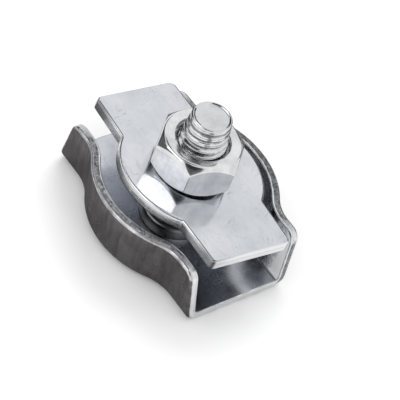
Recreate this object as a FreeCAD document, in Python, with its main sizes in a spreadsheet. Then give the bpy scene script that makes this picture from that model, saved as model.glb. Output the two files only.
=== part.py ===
"""Simplex wire rope clip for 6 mm rope: a pressed channel, a riveted M6 bolt, a clamp plate and a hex nut.

The origin lies on the bolt's axis in the plane of the channel's underside. +Z runs up the bolt and X along
the rope. All sizes are millimetres and degrees.
"""
import FreeCAD, Part
import math
import os
import Sketcher
from FreeCAD import Vector

# Driving dimensions: name, value, what it measures
DIMENSIONS = [
    ("sheet_thickness", 1.2, "steel sheet of the channel"),
    ("channel_length", 28.3, "channel along the rope, at its base"),
    ("channel_width", 13.0, "inside width of the channel's straight mouths, at the base"),
    ("wall_height", 6.8, "inside height of the channel walls"),
    ("wall_splay", 0.8, "how far each wall leans out by its top edge"),
    ("bulge_radius", 10.0, "inside radius of the walls round the bolt, at the base"),
    ("bulge_blend", 7.1, "radius that leads each mouth into the bulge, at the base"),
    ("bend_radius", 0.6, "inside radius of the bend between base and wall"),
    ("end_slant", 1.3, "how much shorter each wall is at its top edge than at the base"),
    ("wall_corner", 1.6, "rounded top corner of each wall"),
    ("sheared_edge", 0.25, "edge rolled over by the press tool"),
    ("thread_diameter", 6.0, "outside diameter of the bolt's thread"),
    ("bolt_height", 19.2, "bolt from the underside of the channel to its flat end"),
    ("rivet_diameter", 8.0, "upset end of the bolt, flush under the base"),
    ("rivet_depth", 0.8, "depth of the cone that the upset end fills"),
    ("collar_diameter", 8.6, "round collar of the bolt inside the channel"),
    ("collar_height", 1.8, "height of the collar above the base"),
    ("collar_edge", 0.3, "chamfer of the collar's top edge"),
    ("taper_length", 2.6, "part of the bolt's end whose thread is not full"),
    ("taper_diameter", 5.65, "diameter where the tapered end meets the full thread"),
    ("taper_step", 0.5, "height of the run-in from the tapered end to the full thread"),
    ("tip_diameter", 5.05, "diameter of the tapered end at its tip"),
    ("tip_flat", 4.75, "diameter of the flat end face"),
    ("tip_chamfer", 0.12, "height of the chamfer round the end face"),
    ("plate_setback", 0.4, "each end of the clamp plate inside the channel's mouth"),
    ("plate_side_room", 0.45, "room between the plate's ends and each wall, if both stood square at the base"),
    ("plate_taper", 0.2, "how much wider each side of an end is where it meets the disc"),
    ("plate_disc_room", 0.6, "room between the plate's round middle and the bulged walls, at the base"),
    ("plate_thickness", 1.5, "clamp plate"),
    ("plate_corner", 0.8, "rounded corners of the clamp plate"),
    ("plate_notch", 0.5, "rounding in the corners where the ends meet the disc"),
    ("plate_hole_clearance", 0.4, "radial room between the plate's hole and the bolt"),
    ("plate_gap", 7.0, "underside of the clamp plate above the base, at the bolt"),
    ("plate_lean", 5.5, "loose plate's lean about the rope direction, right side low"),
    ("plate_turn", -2.8, "loose plate's turn about the bolt"),
    ("plate_shift_along", 0.03, "plate's hole beside the bolt's axis, along the rope"),
    ("plate_shift_across", 0.17, "plate's hole beside the bolt's axis, across the rope"),
    ("nut_across_flats", 10.0, "spanner size of the nut"),
    ("nut_height", 5.0, "nut"),
    ("nut_face_step", 0.4, "spanner size less the flat circle that the chamfer leaves on each face"),
    ("nut_chamfer_angle", 48.0, "slope of the chamfer cone against the face"),
    ("nut_countersink", 7.1, "mouth of the nut's bore"),
    ("nut_turn", 10.3, "one corner of the nut, turned from the rope direction"),
    ("nut_seat_gap", 0.05, "room between the nut and the highest point of the plate"),
    ("thread_clearance", 0.05, "radial room between the nut's bore and the bolt"),
]

doc = FreeCAD.newDocument("WireRopeClip")
sheet = doc.addObject("Spreadsheet::Sheet", "Dimensions")
for row, (name, number, meaning) in enumerate(DIMENSIONS, start=1):
    sheet.set(f"A{row}", meaning)
    sheet.set(f"B{row}", str(number))
    sheet.setAlias(f"B{row}", name)
doc.recompute()

# Formulas that several pieces share
LEAN = "(Dimensions.wall_splay / Dimensions.wall_height)"
SKIN = f"(Dimensions.sheet_thickness * sqrt(1 + {LEAN}^2))"
WALL_TOP = "(Dimensions.sheet_thickness + Dimensions.wall_height)"
HALF_LENGTH = "(Dimensions.channel_length / 2)"
BOLT_RADIUS = "(Dimensions.thread_diameter / 2)"
OVERRUN = "(2 * Dimensions.sheet_thickness)"


def value(formula):
    """Number that a formula of sheet names gives."""
    return float(sheet.evalExpression(str(formula)))


def new_body(label):
    """Empty body with the label that names its file."""
    body = doc.addObject("PartDesign::Body", label)
    body.Label = label
    return body


def plane_of(body, role):
    """Origin plane of a body, found by its role."""
    return next(item for item in body.Origin.OriginFeatures if item.Role == role)


def new_sketch(body, name, role, raised="0"):
    """Sketch on one of the body's own origin planes, raised along the plane's normal."""
    sketch = body.newObject("Sketcher::SketchObject", name)
    sketch.AttachmentSupport = (plane_of(body, role), [""])
    sketch.MapMode = "FlatFace"
    sketch.setExpression("AttachmentOffset.Base.z", raised)
    doc.recompute()
    return sketch


def size_constraint(sketch, name, formula, kind, *places):
    """Named sketch dimension bound to a formula of sheet names."""
    index = sketch.addConstraint(Sketcher.Constraint(kind, *places, value(formula)))
    sketch.renameConstraint(index, name)
    sketch.setExpression(f"Constraints.{name}", formula)


def polygon_sketch(body, name, role, corners, raised="0"):
    """Closed outline of straight edges whose corners are pairs of formulas, each one a driven dimension."""
    sketch = new_sketch(body, name, role, raised)
    points = [Vector(value(across), value(up), 0) for across, up in corners]
    count = len(points)
    for index in range(count):
        sketch.addGeometry(Part.LineSegment(points[index], points[(index + 1) % count]), False)
    for index in range(count):
        sketch.addConstraint(Sketcher.Constraint("Coincident", index, 2, (index + 1) % count, 1))
    for index, (across, up) in enumerate(corners):
        place_point(sketch, f"corner{index}", index, 1, across, up)
    doc.recompute()
    return sketch


def place_point(sketch, name, edge, end, across, up):
    """Fixes a sketch point by its two distances from the sketch's origin."""
    for axis, kind, formula in (("across", "DistanceX", across), ("up", "DistanceY", up)):
        distance = value(formula)
        if abs(distance) < 1e-9:
            on_axis = "Horizontal" if kind == "DistanceY" else "Vertical"
            sketch.addConstraint(Sketcher.Constraint(on_axis, -1, 1, edge, end))
        elif distance > 0:
            size_constraint(sketch, f"{name}_{axis}", formula, kind, -1, 1, edge, end)
        else:
            size_constraint(sketch, f"{name}_{axis}", f"-({formula})", kind, edge, end, -1, 1)


def bulged_outline(body, name, grow, raised, overrun):
    """Plan of the channel at one height: two straight mouths and a round bulge about the bolt.

    grow is how far this outline lies outside the channel's inner face at the base.
    """
    sketch = new_sketch(body, name, "XY_Plane", raised)
    straight = f"Dimensions.channel_width / 2 + {grow}"
    bulge = f"Dimensions.bulge_radius + {grow}"
    blend = f"Dimensions.bulge_blend - {grow}"
    end = f"{HALF_LENGTH} + {overrun}"
    half_width, radius, fillet, reach = value(straight), value(bulge), value(blend), value(end)
    centre_up = half_width + fillet
    centre_out = math.sqrt((radius + fillet) ** 2 - centre_up ** 2)
    meet = math.atan2(centre_up, centre_out)
    for side in (1, -1):
        first = sketch.GeometryCount
        tag = "left" if side < 0 else "right"
        edges = side_edges(side, half_width, radius, fillet, reach, centre_out, centre_up, meet)
        sketch.addGeometry(edges, False)
        line_one, blend_one, arc, blend_two, line_two = range(first, first + 5)
        inner, outer = (1, 2) if side > 0 else (2, 1)
        sketch.addConstraint(Sketcher.Constraint("Tangent", line_one, 2, blend_one, outer))
        sketch.addConstraint(Sketcher.Constraint("Tangent", blend_one, inner, arc, inner))
        sketch.addConstraint(Sketcher.Constraint("Tangent", arc, outer, blend_two, outer))
        sketch.addConstraint(Sketcher.Constraint("Tangent", blend_two, inner, line_two, 1))
        sketch.addConstraint(Sketcher.Constraint("Coincident", arc, 3, -1, 1))
        sketch.addConstraint(Sketcher.Constraint("Horizontal", line_one))
        sketch.addConstraint(Sketcher.Constraint("Horizontal", line_two))
        sketch.addConstraint(Sketcher.Constraint("Equal", blend_one, blend_two))
        size_constraint(sketch, f"bulge_{tag}", bulge, "Radius", arc)
        size_constraint(sketch, f"blend_{tag}", blend, "Radius", blend_one)
        upward = [(-1, 1), (line_one, 1)][::side]
        size_constraint(sketch, f"mouth_one_{tag}", straight, "DistanceY", *upward[0], *upward[1])
        upward = [(-1, 1), (line_two, 2)][::side]
        size_constraint(sketch, f"mouth_two_{tag}", straight, "DistanceY", *upward[0], *upward[1])
        size_constraint(sketch, f"end_one_{tag}", end, "DistanceX", -1, 1, line_one, 1)
        size_constraint(sketch, f"end_two_{tag}", end, "DistanceX", line_two, 2, -1, 1)
    for point in (1, 2):
        from_edge, to_edge = (0, 5) if point == 1 else (4, 9)
        index = sketch.GeometryCount
        ends = [sketch.getPoint(from_edge, point), sketch.getPoint(to_edge, point)]
        sketch.addGeometry(Part.LineSegment(*ends), False)
        sketch.addConstraint(Sketcher.Constraint("Coincident", index, 1, from_edge, point))
        sketch.addConstraint(Sketcher.Constraint("Coincident", index, 2, to_edge, point))
    doc.recompute()
    return sketch


def side_edges(side, half_width, radius, fillet, reach, centre_out, centre_up, meet):
    """Edges of one side of the bulged plan, from the +X mouth to the -X mouth."""
    up = Vector(0, 0, 1)
    turn = math.pi / 2

    def arc(centre, size, start, stop):
        """Arc that runs anticlockwise from start to stop, mirrored to the other side where side is -1."""
        if side < 0:
            start, stop = -stop, -start
        circle = Part.Circle(Vector(centre[0], side * centre[1], 0), up, size)
        return Part.ArcOfCircle(circle, start, stop)

    def line(from_x, to_x):
        """Straight mouth."""
        return Part.LineSegment(Vector(from_x, side * half_width, 0), Vector(to_x, side * half_width, 0))

    return [
        line(reach, centre_out),
        arc((centre_out, centre_up), fillet, math.pi + meet, 3 * turn),
        arc((0, 0), radius, meet, math.pi - meet),
        arc((-centre_out, centre_up), fillet, -turn, -meet),
        line(-centre_out, -reach),
    ]


def padded(body, name, sketch, height):
    """Pad of a sketch, upward by a formula."""
    pad = body.newObject("PartDesign::Pad", name)
    pad.Profile = sketch
    pad.setExpression("Length", height)
    doc.recompute()
    return pad


def upright_faces(feature, half_length):
    """Names of the faces that stand upright, apart from those in the planes of the mouths."""
    names = []
    for index, face in enumerate(feature.Shape.Faces, start=1):
        at_mouth = all(at_both_ends(vertex.Point, half_length) for vertex in face.Vertexes)
        u_low, u_high, v_low, v_high = face.ParameterRange
        normal = face.normalAt((u_low + u_high) / 2, (v_low + v_high) / 2)
        if abs(normal.z) < 1e-6 and not at_mouth:
            names.append(f"Face{index}")
    return names


def face_at_height(feature, height):
    """Name of the flat face that lies at a height."""
    for index, face in enumerate(feature.Shape.Faces, start=1):
        if all(abs(vertex.Z - height) < 1e-6 for vertex in face.Vertexes):
            return f"Face{index}"
    raise RuntimeError(f"{feature.Name} has no face at {height}")


def leaned_out(body, name, feature, neutral, half_length, turned_over):
    """Leans the upright walls outward about a neutral plane."""
    draft = body.newObject("PartDesign::Draft", name)
    draft.Base = (feature, upright_faces(feature, half_length))
    draft.NeutralPlane = neutral
    draft.Reversed = turned_over
    draft.setExpression("Angle", f"atan({LEAN})")
    doc.recompute()
    return draft


def edges_where(feature, wanted):
    """Names of a feature's edges whose two ends and middle all pass a test."""
    names = []
    for index, edge in enumerate(feature.Shape.Edges, start=1):
        first, last = edge.ParameterRange
        points = [edge.valueAt(first), edge.valueAt((first + last) / 2), edge.valueAt(last)]
        if all(wanted(point) for point in points):
            names.append(f"Edge{index}")
    return names


def round_edges(body, name, feature, wanted, radius):
    """Fillet on the edges that pass a test."""
    fillet = body.newObject("PartDesign::Fillet", name)
    fillet.Base = (feature, edges_where(feature, wanted))
    fillet.setExpression("Radius", radius)
    doc.recompute()
    return fillet


def turned(body, kind, name, sketch):
    """Full turn of a sketch about the body's own Z axis, added or cut away."""
    feature = body.newObject(f"PartDesign::{kind}", name)
    feature.Profile = sketch
    feature.ReferenceAxis = (plane_of(body, "Z_Axis"), [""])
    feature.Angle = 360
    doc.recompute()
    return feature


def cut_through(body, name, sketch):
    """Pocket of a sketch right through the body, both ways."""
    pocket = body.newObject("PartDesign::Pocket", name)
    pocket.Profile = sketch
    pocket.Type = "ThroughAll"
    pocket.SideType = "Symmetric"
    doc.recompute()
    return pocket


def at_both_ends(point, half_length):
    """Whether a point lies in the plane of one of the channel's mouths."""
    return abs(abs(point.x) - half_length) < 1e-6


def must_change(before, after, least):
    """Stops the build where a feature added or removed less than it has to."""
    change = abs(after.Shape.Volume - before.Shape.Volume)
    if change < least:
        raise RuntimeError(f"{after.Name} changed the volume by only {change:.4f} mm3")


def build_channel():
    """Pressed U of sheet whose walls lean out and bulge round the bolt, with slanted wall ends."""
    body = new_body("channel")
    half_length = value(HALF_LENGTH)
    half_width = value("Dimensions.channel_width / 2") - 1e-6
    underside = (plane_of(body, "XY_Plane"), [""])

    outer_foot = f"({SKIN} - {LEAN} * Dimensions.sheet_thickness)"
    foot = bulged_outline(body, "OuterFoot", outer_foot, "0", "0")
    block = padded(body, "Block", foot, WALL_TOP)
    leaning = leaned_out(body, "OuterLean", block, underside, half_length, True)
    must_change(block, leaning, 100)

    floor = bulged_outline(body, "InnerFloor", "0", "Dimensions.sheet_thickness", OVERRUN)
    hollow = body.newObject("PartDesign::Pocket", "Hollow")
    hollow.Profile = floor
    hollow.Type = "ThroughAll"
    hollow.Reversed = True
    doc.recompute()
    must_change(leaning, hollow, 1500)
    inside = (hollow, [face_at_height(hollow, value("Dimensions.sheet_thickness"))])
    trough = leaned_out(body, "InnerLean", hollow, inside, half_length, False)
    must_change(hollow, trough, 100)

    def along_foot(height):
        """Test for the long edges at a height, where base and wall meet."""
        return lambda point: abs(point.z - height) < 1e-6 and abs(point.y) > half_width

    outer_bend = round_edges(
        body, "OuterBend", trough, along_foot(0), "Dimensions.bend_radius + Dimensions.sheet_thickness"
    )
    inner_foot = along_foot(value("Dimensions.sheet_thickness"))
    inner_bend = round_edges(body, "InnerBend", outer_bend, inner_foot, "Dimensions.bend_radius")

    short = f"({HALF_LENGTH} - Dimensions.end_slant)"
    past = f"({HALF_LENGTH} + {OVERRUN})"
    above = f"({WALL_TOP} + {OVERRUN})"
    wedge = polygon_sketch(body, "EndSlant", "XZ_Plane", [
        (HALF_LENGTH, "Dimensions.sheet_thickness"),
        (short, WALL_TOP),
        (short, above),
        (past, above),
        (past, "Dimensions.sheet_thickness"),
    ])
    slant = cut_through(body, "SlantedEnd", wedge)
    both = body.newObject("PartDesign::Mirrored", "BothEnds")
    both.Originals = [slant]
    both.MirrorPlane = (plane_of(body, "YZ_Plane"), [""])
    body.Tip = both
    doc.recompute()
    must_change(slant, both, 0.8 * abs(slant.Shape.Volume - inner_bend.Shape.Volume))

    top, corner_x = value(WALL_TOP), value(short)
    corners = round_edges(
        body, "WallCorners", both,
        lambda point: abs(point.z - top) < 1e-6 and abs(abs(point.x) - corner_x) < 1e-6,
        "Dimensions.wall_corner",
    )
    must_change(both, corners, 1)

    rivet, bolt = "Dimensions.rivet_diameter / 2", BOLT_RADIUS
    seat = polygon_sketch(body, "RivetSeat", "XZ_Plane", [
        ("0", f"-{OVERRUN}"),
        (rivet, f"-{OVERRUN}"),
        (rivet, "0"),
        (bolt, "Dimensions.rivet_depth"),
        (bolt, OVERRUN),
        ("0", OVERRUN),
    ])
    hole = turned(body, "Groove", "BoltHole", seat)
    must_change(corners, hole, 30)
    return body


def build_bolt():
    """Stud with a round collar, its foot upset into the countersink under the base."""
    body = new_body("bolt")
    rivet, collar = "Dimensions.rivet_diameter / 2", "Dimensions.collar_diameter / 2"
    base, height = "Dimensions.sheet_thickness", "Dimensions.bolt_height"
    collar_top = f"({base} + Dimensions.collar_height)"
    profile = polygon_sketch(body, "BoltProfile", "XZ_Plane", [
        ("0", "0"),
        (rivet, "0"),
        (BOLT_RADIUS, "Dimensions.rivet_depth"),
        (BOLT_RADIUS, base),
        (collar, base),
        (collar, f"{collar_top} - Dimensions.collar_edge"),
        (f"{collar} - Dimensions.collar_edge", collar_top),
        (BOLT_RADIUS, collar_top),
        (BOLT_RADIUS, f"{height} - Dimensions.taper_length - Dimensions.taper_step"),
        ("Dimensions.taper_diameter / 2", f"{height} - Dimensions.taper_length"),
        ("Dimensions.tip_diameter / 2", f"{height} - Dimensions.tip_chamfer"),
        ("Dimensions.tip_flat / 2", height),
        ("0", height),
    ])
    turned(body, "Revolution", "BoltTurned", profile)
    return body


def build_clamp_plate():
    """Flat pressed plate: a disc about the bolt with an end each way along the rope.

    Its own origin lies in its underside on the axis of its hole.
    """
    body = new_body("clamp_plate")
    length = "(Dimensions.channel_length / 2 - Dimensions.plate_setback)"
    end = "(Dimensions.channel_width / 2 - Dimensions.plate_side_room)"
    shoulder = f"({end} + Dimensions.plate_taper)"
    disc = "(Dimensions.bulge_radius - Dimensions.plate_disc_room)"
    meeting = f"sqrt({disc}^2 - {shoulder}^2)"
    ends = polygon_sketch(body, "PlateEnds", "XY_Plane", [
        (length, f"-{end}"),
        (length, end),
        (meeting, shoulder),
        (f"-{meeting}", shoulder),
        (f"-{length}", end),
        (f"-{length}", f"-{end}"),
        (f"-{meeting}", f"-{shoulder}"),
        (meeting, f"-{shoulder}"),
    ])
    strip = padded(body, "Ends", ends, "Dimensions.plate_thickness")
    circle = new_sketch(body, "PlateDisc", "XY_Plane")
    add_circle(circle, "disc", f"(2 * {disc})")
    middle = padded(body, "Disc", circle, "Dimensions.plate_thickness")
    must_change(strip, middle, 50)

    reach, across, meet = value(length), value(end), value(meeting)
    corners = round_edges(
        body, "PlateCorners", middle,
        lambda point: abs(abs(point.x) - reach) < 1e-6 and abs(abs(point.y) - across) < 1e-6,
        "Dimensions.plate_corner",
    )
    notches = round_edges(
        body, "PlateNotches", corners,
        lambda point: abs(abs(point.x) - meet) < 1e-6 and abs(point.y) > across,
        "Dimensions.plate_notch",
    )
    must_change(middle, corners, 0.5)
    must_change(corners, notches, 0.02)

    top = value("Dimensions.plate_thickness")
    rolled = round_edges(
        body, "RolledEdge", notches, lambda point: abs(point.z - top) < 1e-6, "Dimensions.sheared_edge"
    )
    must_change(notches, rolled, 0.5)
    opening = new_sketch(body, "PlateHole", "XY_Plane")
    add_circle(opening, "hole", "(Dimensions.thread_diameter + 2 * Dimensions.plate_hole_clearance)")
    hole = cut_through(body, "BoltHole", opening)
    must_change(rolled, hole, 30)

    body.setExpression("Placement", (
        "placement(vector(Dimensions.plate_shift_along; Dimensions.plate_shift_across; "
        "Dimensions.sheet_thickness + Dimensions.plate_gap); "
        "rotation(Dimensions.plate_turn; 0; -Dimensions.plate_lean))"
    ))
    return body


def add_circle(sketch, name, diameter):
    """Circle about the sketch's origin."""
    circle = Part.Circle(Vector(0, 0, 0), Vector(0, 0, 1), value(diameter) / 2)
    index = sketch.addGeometry(circle, False)
    sketch.addConstraint(Sketcher.Constraint("Coincident", index, 3, -1, 1))
    size_constraint(sketch, name, diameter, "Diameter", index)
    doc.recompute()


def build_nut():
    """Hex nut, chamfered and countersunk on both faces, just clear of the leaning plate below it."""
    body = new_body("hex_nut")
    flat, height = "(Dimensions.nut_across_flats / 2)", "Dimensions.nut_height"
    corner = f"({flat} / cos(30))"
    corners = [
        (corner, "0"),
        (f"{corner} / 2", flat),
        (f"-{corner} / 2", flat),
        (f"-{corner}", "0"),
        (f"-{corner} / 2", f"-{flat}"),
        (f"{corner} / 2", f"-{flat}"),
    ]
    hexagon = polygon_sketch(body, "Hexagon", "XY_Plane", corners)
    blank = padded(body, "Blank", hexagon, height)

    face = "((Dimensions.nut_across_flats - Dimensions.nut_face_step) / 2)"
    wide = f"({corner} + {face} / 5)"
    drop = f"(({wide} - {face}) * tan(Dimensions.nut_chamfer_angle))"
    upper = polygon_sketch(body, "UpperChamfer", "XZ_Plane", [
        (face, height), (wide, f"{height} - {drop}"), (wide, height)
    ])
    crowned = turned(body, "Groove", "CrownedTop", upper)
    must_change(blank, crowned, 0.2)
    lower = polygon_sketch(body, "LowerChamfer", "XZ_Plane", [(face, "0"), (wide, "0"), (wide, drop)])
    both = turned(body, "Groove", "CrownedFoot", lower)
    must_change(crowned, both, 0.2)

    mouth = "Dimensions.nut_countersink / 2"
    bore = f"({BOLT_RADIUS} + Dimensions.thread_clearance)"
    sink = f"({mouth} - {bore})"
    profile = polygon_sketch(body, "BoreProfile", "XZ_Plane", [
        ("0", f"-{sink}"),
        (f"{bore} + 2 * {sink}", f"-{sink}"),
        (bore, sink),
        (bore, f"{height} - {sink}"),
        (f"{bore} + 2 * {sink}", f"{height} + {sink}"),
        ("0", f"{height} + {sink}"),
    ])
    bored = turned(body, "Groove", "Bore", profile)
    must_change(both, bored, 100)

    slope = "tan(Dimensions.plate_lean)"
    shift = (
        "(Dimensions.plate_shift_across * cos(Dimensions.plate_turn)"
        " - Dimensions.plate_shift_along * sin(Dimensions.plate_turn))"
    )
    seat = (
        "Dimensions.sheet_thickness + Dimensions.plate_gap"
        f" + Dimensions.plate_thickness / cos(Dimensions.plate_lean) + {slope} * {shift}"
        f" + {slope} * {face} + Dimensions.nut_seat_gap"
    )
    body.setExpression("Placement", f"placement(vector(0; 0; {seat}); rotation(Dimensions.nut_turn; 0; 0))")
    return body


def check_document():
    """Stops the build where any object failed."""
    for item in doc.Objects:
        if {"Invalid", "Error"} & set(item.State):
            raise RuntimeError(f"{item.Name} failed: {item.State}")


def export(body):
    """Writes one piece in its place, once it is one valid solid."""
    shape = body.Shape
    if shape.isNull() or not shape.isValid() or len(shape.Solids) != 1:
        raise RuntimeError(f"{body.Label} is not one valid solid")
    shape.exportStep(f"parts/{body.Label}.step")


pieces = [build_channel(), build_bolt(), build_clamp_plate(), build_nut()]
doc.recompute()
check_document()
os.makedirs("parts", exist_ok=True)
for piece in pieces:
    export(piece)
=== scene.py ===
"""Zinc-plated wire rope clip: a pressed channel with a riveted bolt, a loose clamp plate and a hexagon nut.

Sizes are millimetres in the part's own frame: Z up the bolt from the underside, X along the rope, Y across it.
"""

import functools
import logging
import math
from collections.abc import Callable, Iterable, Sequence
from dataclasses import dataclass, field
from enum import Enum, IntEnum

import bmesh
import bpy
import numpy as np
from mathutils import Matrix, Vector


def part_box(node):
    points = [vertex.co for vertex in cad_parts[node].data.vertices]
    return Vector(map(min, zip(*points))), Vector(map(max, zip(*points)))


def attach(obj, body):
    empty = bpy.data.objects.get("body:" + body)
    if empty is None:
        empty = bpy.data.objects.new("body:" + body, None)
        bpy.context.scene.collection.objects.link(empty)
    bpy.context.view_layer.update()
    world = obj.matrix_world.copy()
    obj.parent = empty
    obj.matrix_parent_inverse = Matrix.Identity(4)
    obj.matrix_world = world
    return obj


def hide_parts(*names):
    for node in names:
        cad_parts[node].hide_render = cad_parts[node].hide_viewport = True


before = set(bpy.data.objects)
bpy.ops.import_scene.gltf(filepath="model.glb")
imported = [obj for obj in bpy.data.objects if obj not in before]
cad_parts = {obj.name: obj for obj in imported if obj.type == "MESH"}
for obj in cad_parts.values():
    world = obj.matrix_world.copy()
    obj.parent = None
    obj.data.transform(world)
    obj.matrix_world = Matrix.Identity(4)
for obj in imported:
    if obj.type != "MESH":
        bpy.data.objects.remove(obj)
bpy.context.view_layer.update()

MM = 0.001
LOG = logging.getLogger("wire_rope_clip")
Colour = tuple[float, float, float]
Triple = tuple[float, float, float]
Pair = tuple[float, float]
Window = tuple[int, int, int, int]
Run = tuple[np.ndarray, np.ndarray]
Trim = Callable[[np.ndarray, np.ndarray], np.ndarray]
Socket = bpy.types.NodeSocket


class Body(Enum):
    """Parts of the clip that move as one."""

    GROUND = "root"
    PLATE = "plate"
    NUT = "nut"


class Plating(Enum):
    """Material slots of the record."""

    SHEET = "zinc_sheet"
    BOLT = "zinc_bolt"
    PLATE = "zinc_plate"
    NUT = "zinc_nut"


class Coordinates(Enum):
    """What a finish is laid out on: the piece itself, or the strip that a cut edge unrolls to."""

    SOLID = "Object"
    STRIP = "UV"


class Face(IntEnum):
    """Numbers of a piece's finishes, in the order that it is dressed in."""

    PLAIN = 0
    CUT = 1
    OUTSIDE = 2
    RIM = 3


# Finishes


def shaded(colour: Colour, share: float) -> Colour:
    """Darkens a colour to a share of itself."""
    return tuple(share * part for part in colour)


class Nodes:
    """Puts together the shader nodes of one tree."""

    def __init__(self, tree: bpy.types.NodeTree) -> None:
        """Takes up a tree."""
        self.tree = tree

    def add(self, kind: str, **sockets: object) -> bpy.types.Node:
        """Adds a node and feeds its sockets.

        Args:
            kind: Type of the node, without the prefix that shader nodes share.
            sockets: A number, colour or output for each socket, by name; a name of a setting sets that.

        Returns:
            The new node.
        """
        node = self.tree.nodes.new("ShaderNode" + kind)
        for name, value in sockets.items():
            if hasattr(node, name):
                setattr(node, name, value)
                continue
            self.feed(node.inputs[name.replace("_", " ")], value)
        return node

    def feed(self, socket: Socket, value: object) -> None:
        """Links an output to a socket, or sets the socket to a plain value.

        Args:
            socket: Socket that is fed.
            value: Output, number or colour.
        """
        if isinstance(value, Socket):
            self.tree.links.new(value, socket)
        else:
            socket.default_value = value

    def sum(self, operation: str, first: object, second: object = 0.0) -> Socket:
        """One sum of two values, or of one.

        Args:
            operation: Which sum it is.
            first: Number or output.
            second: Number or output.

        Returns:
            The result.
        """
        node = self.add("Math", operation=operation)
        self.feed(node.inputs[0], first)
        self.feed(node.inputs[1], second)
        return node.outputs[0]

    def plus(self, first: object, second: object) -> Socket:
        """Adds two values."""
        return self.sum("ADD", first, second)

    def minus(self, first: object, second: object) -> Socket:
        """Takes the second value from the first."""
        return self.sum("SUBTRACT", first, second)

    def times(self, first: object, second: object) -> Socket:
        """Multiplies two values."""
        return self.sum("MULTIPLY", first, second)

    def most(self, first: object, second: object) -> Socket:
        """The larger of two values."""
        return self.sum("MAXIMUM", first, second)

    def off(self, value: Socket, centre: float) -> Socket:
        """Distance of a value from a centre, on either side."""
        return self.sum("ABSOLUTE", self.minus(value, centre))

    def spread(self, value: Socket, between: Pair, to: Pair = (0, 1)) -> Socket:
        """Maps the range between two values onto another range, and holds it there.

        Args:
            value: What is mapped.
            between: Values that give the two ends.
            to: The two ends.

        Returns:
            The mapped value.
        """
        node = self.add("MapRange", Value=value)
        for name, number in zip(("From Min", "From Max", "To Min", "To Max"), (*between, *to)):
            node.inputs[name].default_value = number
        return node.outputs[0]

    def seen(self) -> Socket:
        """Tells what is seen from what lights the clip.

        Returns:
            One for camera, glossy and transmission rays, and nought for the others.
        """
        path = self.add("LightPath").outputs
        bounced = self.most(path["Is Glossy Ray"], path["Is Transmission Ray"])
        return self.most(path["Is Camera Ray"], bounced)

    def surface(self, output: str, share: Socket, first: Socket, second: Socket) -> None:
        """Gives the tree's output a mix of two shaders.

        Args:
            output: Name of the output node.
            share: Share of the second shader.
            first: Shader where the share is nought.
            second: Shader where the share is one.
        """
        mix = self.add("MixShader")
        for socket, value in zip(mix.inputs, (share, first, second)):
            self.feed(socket, value)
        self.feed(self.tree.nodes[output].inputs["Surface"], mix.outputs[0])


class Bench(Nodes):
    """Puts together the nodes of one finish, with every length in millimetres."""

    def __init__(self, label: str, metallic: float = 1.0) -> None:
        """Starts an empty finish.

        Args:
            label: Name of the material.
            metallic: One for metal, nought for paint.
        """
        self.material = bpy.data.materials.new(label)
        self.material.use_nodes = True
        super().__init__(self.material.node_tree)
        self.shader = self.tree.nodes["Principled BSDF"]
        self.coat("Metallic", metallic)

    def coat(self, socket: str, value: object) -> None:
        """Gives the finish's shader a value for one of its sockets."""
        self.feed(self.shader.inputs[socket], value)

    def place(self, source: Coordinates, stretch: Triple = (1, 1, 1), turn: Triple = (0, 0, 0)) -> Socket:
        """Coordinates in millimetres, stretched and turned.

        Args:
            source: What the coordinates belong to.
            stretch: How much finer the pattern gets along each axis.
            turn: Turn about each axis in degrees.

        Returns:
            The coordinates for a texture.
        """
        origin = self.add("TexCoord").outputs[source.value]
        unit = 1.0 if source is Coordinates.STRIP else 1 / MM
        turned = self.add("Mapping", Vector=origin, Rotation=[math.radians(a) for a in turn], Scale=[unit] * 3)
        return self.add("Mapping", Vector=turned.outputs[0], Scale=stretch).outputs[0]

    def parts(self, at: Socket) -> bpy.types.NodeOutputs:
        """The three coordinates of a place, each by itself."""
        return self.add("SeparateXYZ", Vector=at).outputs

    def noise(self, at: Socket, size: float, detail: float = 3, rough: float = 0.55) -> Socket:
        """Cloudy pattern whose patches are about one size across."""
        return self.add("TexNoise", Vector=at, Scale=1 / size, Detail=detail, Roughness=rough).outputs["Fac"]

    def sway(self, pattern: Socket, width: float) -> Socket:
        """Swings a cloudy pattern about nought, over a width."""
        return self.times(self.minus(pattern, 0.5), width)

    def blend(self, share: object, first: object, second: object) -> Socket:
        """Mixes two colours by a share.

        Args:
            share: Share of the second colour.
            first: Colour where the share is nought.
            second: Colour where the share is one.

        Returns:
            The mixed colour.
        """
        node = self.add("Mix", data_type="RGBA")
        for socket, value in ((0, share), (6, first), (7, second)):
            self.feed(node.inputs[socket], (*value, 1) if isinstance(value, tuple) else value)
        return node.outputs[2]

    def relief(self, height: Socket, depth: float, under: Socket | None = None) -> Socket:
        """Bumps on a surface, over the bumps that lie under them.

        Args:
            height: Pattern of the bumps, from 0 to 1.
            depth: Depth of the bumps in millimetres.
            under: The bumps under them, if there are any.

        Returns:
            The direction of the surface.
        """
        node = self.add("Bump", Height=height, Distance=depth * MM, Strength=1.0)
        if under is not None:
            self.feed(node.inputs["Normal"], under)
        return node.outputs[0]


@dataclass(frozen=True)
class Scratches:
    """Fine straight scratches of one direction, only in patches."""

    turn: Triple
    reach: float
    width: float

    def mask(self, bench: Bench, hair: float) -> Socket:
        """Draws the scratches.

        Args:
            bench: The finish that they belong to.
            hair: How many times their own width they are drawn.

        Returns:
            A mask that is 1 in a scratch.
        """
        along = bench.place(Coordinates.SOLID, (self.reach, 1.6, 1.6), self.turn)
        line = bench.spread(bench.off(bench.noise(along, 1.0, 2), 0.5), (self.width * hair, 0.0))
        patches = bench.noise(bench.place(Coordinates.SOLID, (1, 1, 1), self.turn), 3.2, 2)
        return bench.times(line, bench.spread(patches, (0.55, 0.66)))


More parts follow.
